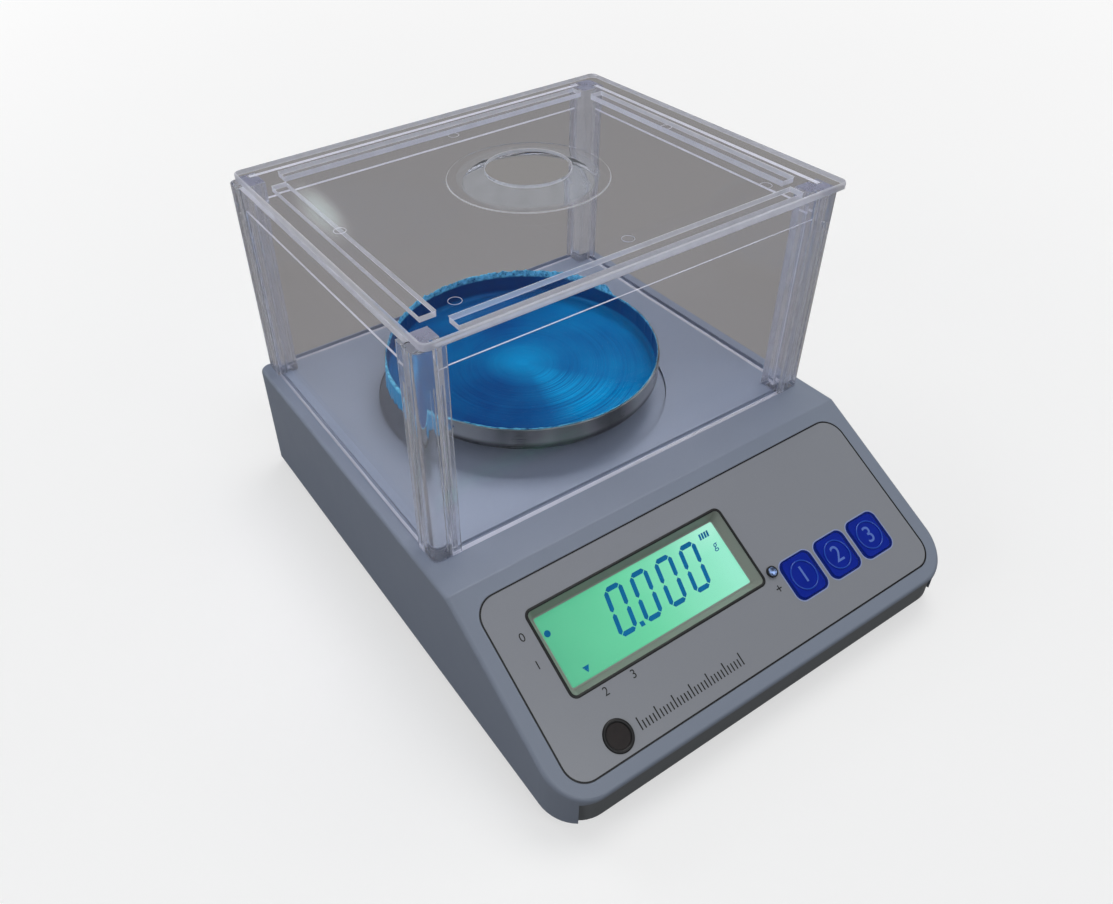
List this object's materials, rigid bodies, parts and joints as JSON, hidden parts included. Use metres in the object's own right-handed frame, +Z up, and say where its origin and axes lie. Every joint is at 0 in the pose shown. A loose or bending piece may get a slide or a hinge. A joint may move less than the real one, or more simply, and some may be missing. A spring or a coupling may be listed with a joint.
{
  "type": "jewellery scale",
  "caption": "Electronic precision balance: round steel pan on a load cell, sloping front panel with backlit display and keys, and a lift-off clear windshield with a lid.",
  "frame": {"origin": "on the table under the centre of the housing", "axes": "+X along the display's reading direction, +Y to the back, +Z up"},
  "size_m": [0.2, 0.2481, 0.1612],
  "materials": {
    "housing_grey": "fine moulded ABS",
    "panel_film": "satin printed film",
    "key_blue": "printed film, embossed",
    "switch_black": "moulded",
    "clear_plastic": "clear moulded plastic",
    "display_glass": "backlit display",
    "backlight_white": "light guide",
    "board_green": "solder resist",
    "lamp_clear": "clear lens",
    "window_dark": "smoked window",
    "pan_steel": "brushed stainless steel",
    "film_blue": "thin protective film",
    "support_grey": "die cast",
    "cell_aluminium": "machined",
    "rubber_black": "matt",
    "steel_bright": "zinc plated",
    "battery_sleeve": "shrink sleeve"
  },
  "bodies": {
    "housing": {"top_housing": "housing_grey", "base_housing": "housing_grey", "control_panel": "panel_film", "key_switches": "switch_black", "display_lens": "clear_plastic", "display_glass": "display_glass", "display_backlight": "backlight_white", "display_holder": "backlight_white", "display_board": "board_green", "indicator_lamp": "lamp_clear", "round_window": "window_dark", "load_cell": "cell_aluminium", "cell_spacer": "cell_aluminium", "cell_screws": "steel_bright", "overload_stop": "steel_bright", "main_board": "board_green", "board_parts": "switch_black", "battery_pack": "battery_sleeve", "housing_screws": "steel_bright", "switch_case": "switch_black", "dc_socket": "switch_black"},
    "pan_carrier": {"pan_support": "support_grey", "pan_pads": "rubber_black", "load_bracket": "support_grey"},
    "pan": {"weighing_pan": "pan_steel", "pan_film": "film_blue"},
    "windshield": {"post_front_left": "clear_plastic", "post_front_right": "clear_plastic", "post_back_left": "clear_plastic", "post_back_right": "clear_plastic", "front_panel": "clear_plastic", "back_panel": "clear_plastic", "left_panel": "clear_plastic", "right_panel": "clear_plastic"},
    "lid": {"windshield_lid": "clear_plastic"},
    "left_button": {"left_key": "key_blue"},
    "middle_button": {"middle_key": "key_blue"},
    "right_button": {"right_key": "key_blue"},
    "rocker": {"power_rocker": "switch_black"},
    "battery_cover": {"battery_door": "housing_grey"},
    "front_left_foot": {"foot_pad_front_left": "rubber_black"},
    "front_left_screw": {"foot_screw_front_left": "switch_black"},
    "front_right_foot": {"foot_pad_front_right": "rubber_black"},
    "front_right_screw": {"foot_screw_front_right": "switch_black"},
    "back_left_foot": {"foot_pad_back_left": "rubber_black"},
    "back_left_screw": {"foot_screw_back_left": "switch_black"},
    "back_right_foot": {"foot_pad_back_right": "rubber_black"},
    "back_right_screw": {"foot_screw_back_right": "switch_black"}
  },
  "joints": [
    {"name": "pan_weigh", "type": "slide", "parent": "housing", "child": "pan_carrier", "axis": [0, 0, -1], "range_m": [0, 0.0003], "stiffness_N_per_m": 20000, "springref_m": -0.0002},
    {"name": "pan_lift", "type": "slide", "parent": "pan_carrier", "child": "pan", "axis": [0, 0, 1], "range_m": [0, 0.035]},
    {"name": "windshield_lift", "type": "slide", "parent": "housing", "child": "windshield", "axis": [0, 0, 1], "range_m": [0, 0.12]},
    {"name": "lid_lift", "type": "slide", "parent": "windshield", "child": "lid", "axis": [0, 0, 1], "range_m": [0, 0.04]},
    {"name": "left_key_press", "type": "slide", "parent": "housing", "child": "left_button", "axis": [0, 0.4808, -0.8768], "range_m": [0, 0.0005], "stiffness_N_per_m": 800, "springref_m": -0.0005},
    {"name": "middle_key_press", "type": "slide", "parent": "housing", "child": "middle_button", "axis": [0, 0.4808, -0.8768], "range_m": [0, 0.0005], "stiffness_N_per_m": 800, "springref_m": -0.0005},
    {"name": "right_key_press", "type": "slide", "parent": "housing", "child": "right_button", "axis": [0, 0.4808, -0.8768], "range_m": [0, 0.0005], "stiffness_N_per_m": 800, "springref_m": -0.0005},
    {"name": "power_rock", "type": "hinge", "parent": "housing", "child": "rocker", "pos_m": [0.03, 0.1195, 0.03], "axis": [1, 0, 0], "range_deg": [0, 18]},
    {"name": "battery_door_off", "type": "slide", "parent": "housing", "child": "battery_cover", "axis": [0, 0, -1], "range_m": [0, 0.02]},
    {"name": "front_left_foot_slide", "type": "slide", "parent": "housing", "child": "front_left_foot", "axis": [0, 0, -1], "range_m": [0, 0.003]},
    {"name": "front_left_foot_turn", "type": "hinge", "parent": "front_left_foot", "child": "front_left_screw", "pos_m": [-0.08, -0.104, 0.005], "axis": [0, 0, -1], "range_deg": [0, 1080]},
    {"name": "front_right_foot_slide", "type": "slide", "parent": "housing", "child": "front_right_foot", "axis": [0, 0, -1], "range_m": [0, 0.003]},
    {"name": "front_right_foot_turn", "type": "hinge", "parent": "front_right_foot", "child": "front_right_screw", "pos_m": [0.08, -0.104, 0.005], "axis": [0, 0, -1], "range_deg": [0, 1080]},
    {"name": "back_left_foot_slide", "type": "slide", "parent": "housing", "child": "back_left_foot", "axis": [0, 0, -1], "range_m": [0, 0.003]},
    {"name": "back_left_foot_turn", "type": "hinge", "parent": "back_left_foot", "child": "back_left_screw", "pos_m": [-0.08, 0.104, 0.005], "axis": [0, 0, -1], "range_deg": [0, 1080]},
    {"name": "back_right_foot_slide", "type": "slide", "parent": "housing", "child": "back_right_foot", "axis": [0, 0, -1], "range_m": [0, 0.003]},
    {"name": "back_right_foot_turn", "type": "hinge", "parent": "back_right_foot", "child": "back_right_screw", "pos_m": [0.08, 0.104, 0.005], "axis": [0, 0, -1], "range_deg": [0, 1080]}
  ],
  "couplings": [
    {"joint": "front_left_foot_turn", "follows": "front_left_foot_slide", "rad_per_m": 6283.2},
    {"joint": "front_right_foot_turn", "follows": "front_right_foot_slide", "rad_per_m": 6283.2},
    {"joint": "back_left_foot_turn", "follows": "back_left_foot_slide", "rad_per_m": 6283.2},
    {"joint": "back_right_foot_turn", "follows": "back_right_foot_slide", "rad_per_m": 6283.2}
  ]
}
